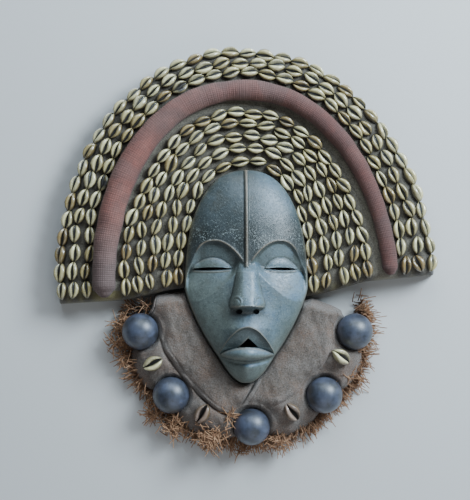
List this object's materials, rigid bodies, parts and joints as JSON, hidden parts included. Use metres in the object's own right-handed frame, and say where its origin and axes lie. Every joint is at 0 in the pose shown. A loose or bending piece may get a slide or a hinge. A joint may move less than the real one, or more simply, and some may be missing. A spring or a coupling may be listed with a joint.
{
  "type": "carved face mask",
  "caption": "Carved wooden face mask with closed slit eyes, a fan headdress of cowrie rows and a red cloth roll, and a padded cloth collar with balls and a raffia fringe",
  "frame": {"origin": "middle of the footprint, on the surface that the flat back rests on", "axes": "X to the right as one looks at the face, Y from the chin to the crown, Z out of the face"},
  "size_m": [0.4216, 0.4532, 0.0824],
  "materials": {
    "carved_wood": "dark, smooth and half polished by handling",
    "cowrie_shell": "glossy yellowed ivory shell with dirt in the slits",
    "red_cloth": "faded red woven cloth",
    "fan_cloth": "dusty grey-olive cloth",
    "collar_cloth": "worn brown felted cloth",
    "ball_wood": "turned wood stained blue-black, satin",
    "raffia": "dry rust-brown plant fibre"
  },
  "bodies": {
    "root": {"mask_face": "carved_wood", "headdress_fan": "fan_cloth", "headdress_roll": "red_cloth", "cowrie_strand_1": "cowrie_shell", "cowrie_strand_2": "cowrie_shell", "cowrie_strand_3": "cowrie_shell", "cowrie_strand_4": "cowrie_shell", "cowrie_strand_5": "cowrie_shell", "cowrie_strand_6": "cowrie_shell", "cowrie_strand_7": "cowrie_shell", "cowrie_strand_8": "cowrie_shell", "collar": "collar_cloth", "ball_1": "ball_wood", "ball_2": "ball_wood", "ball_3": "ball_wood", "ball_4": "ball_wood", "ball_5": "ball_wood", "collar_cowrie_1": "cowrie_shell", "collar_cowrie_2": "cowrie_shell", "collar_cowrie_3": "cowrie_shell", "collar_cowrie_4": "cowrie_shell", "raffia_fringe": "raffia"}
  },
  "joints": []
}
